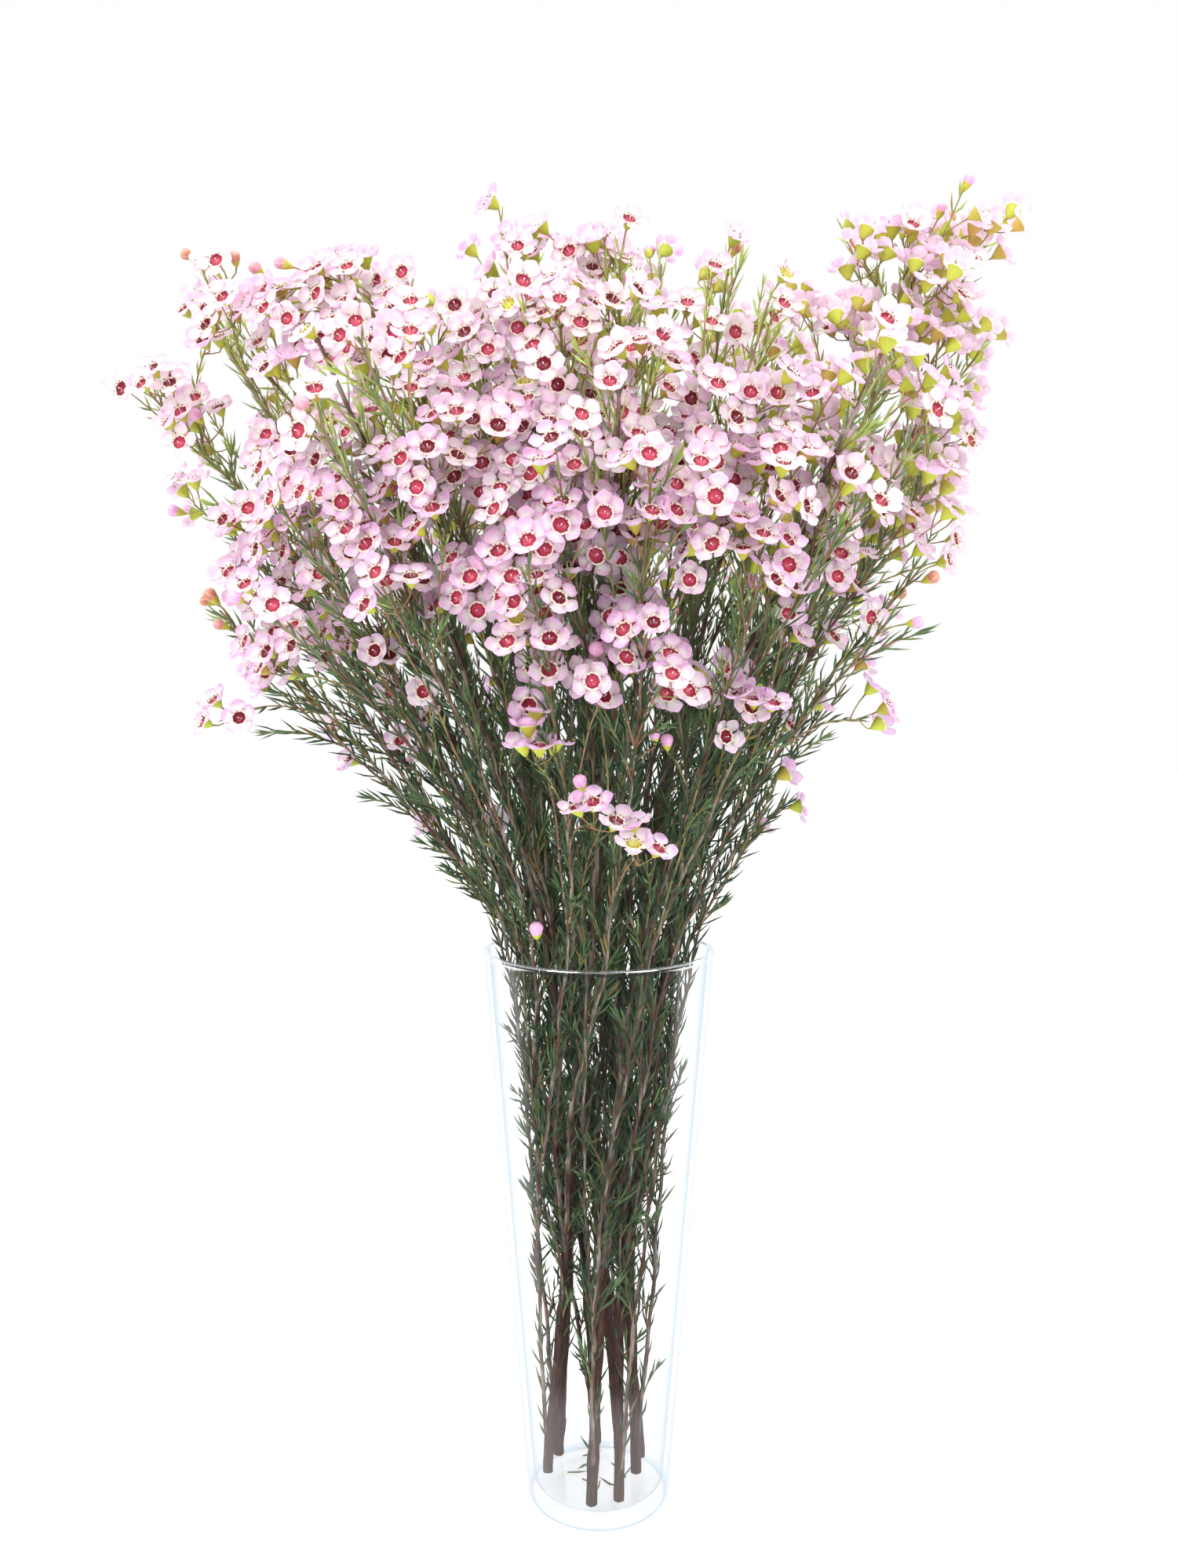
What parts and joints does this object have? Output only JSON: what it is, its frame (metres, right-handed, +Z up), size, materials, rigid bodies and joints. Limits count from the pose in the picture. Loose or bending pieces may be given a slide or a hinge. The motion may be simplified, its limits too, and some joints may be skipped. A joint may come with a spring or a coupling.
{
  "type": "waxflower stems in a glass vase",
  "caption": "Tall tapered clear glass vase holding upright cut waxflower stems, with needle leaves and a wide crown of small pink blooms.",
  "frame": {"origin": "centre of the vase's flat foot, on the surface that it stands on", "axes": "+Z up, -Y towards the viewer of the picture, +X to the viewer's right"},
  "size_m": [0.4239, 0.3125, 0.6405],
  "materials": {
    "clear_glass": "clear, smooth and colourless, with a faint blue edge",
    "flowering_stem": "pale pink blooms on thin brown bark with dark green needle leaves"
  },
  "bodies": {
    "root": {"vase": "clear_glass", "waxflower_stem_1": "flowering_stem", "waxflower_stem_2": "flowering_stem", "waxflower_stem_3": "flowering_stem", "waxflower_stem_4": "flowering_stem", "waxflower_stem_5": "flowering_stem", "waxflower_stem_6": "flowering_stem", "waxflower_stem_7": "flowering_stem", "waxflower_stem_8": "flowering_stem"}
  },
  "joints": []
}
